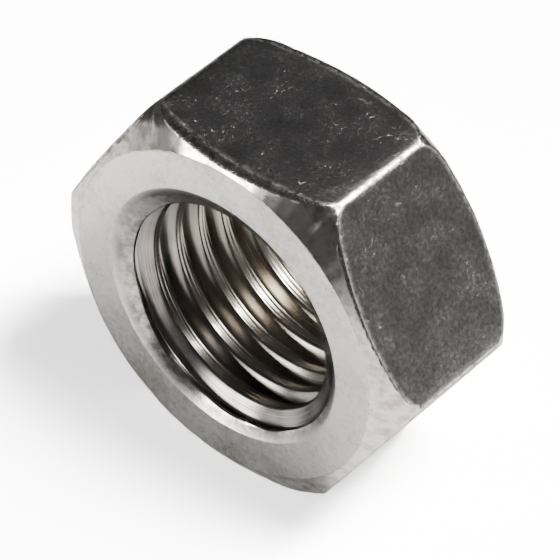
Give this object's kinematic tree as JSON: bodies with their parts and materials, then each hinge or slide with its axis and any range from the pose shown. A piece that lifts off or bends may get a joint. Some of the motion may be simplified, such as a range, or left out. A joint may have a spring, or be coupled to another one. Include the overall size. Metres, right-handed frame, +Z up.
{
  "type": "hex nut",
  "caption": "Steel hexagon nut with a coarse right-hand thread, countersunk bore ends and chamfered corners, standing on a wrench flat.",
  "frame": {"origin": "on the surface that the nut stands on, under the middle of its lower wrench flat", "axes": "+Y along the bore from the marked face to the plain face, +X to a corner between flats, +Z up, square to the upper wrench flat"},
  "size_m": [0.0332, 0.0148, 0.0292],
  "materials": {
    "steel": "bright turned faces and thread, dull grey tumbled wrench flats"
  },
  "bodies": {
    "root": {"hex_nut": "steel"}
  },
  "joints": []
}
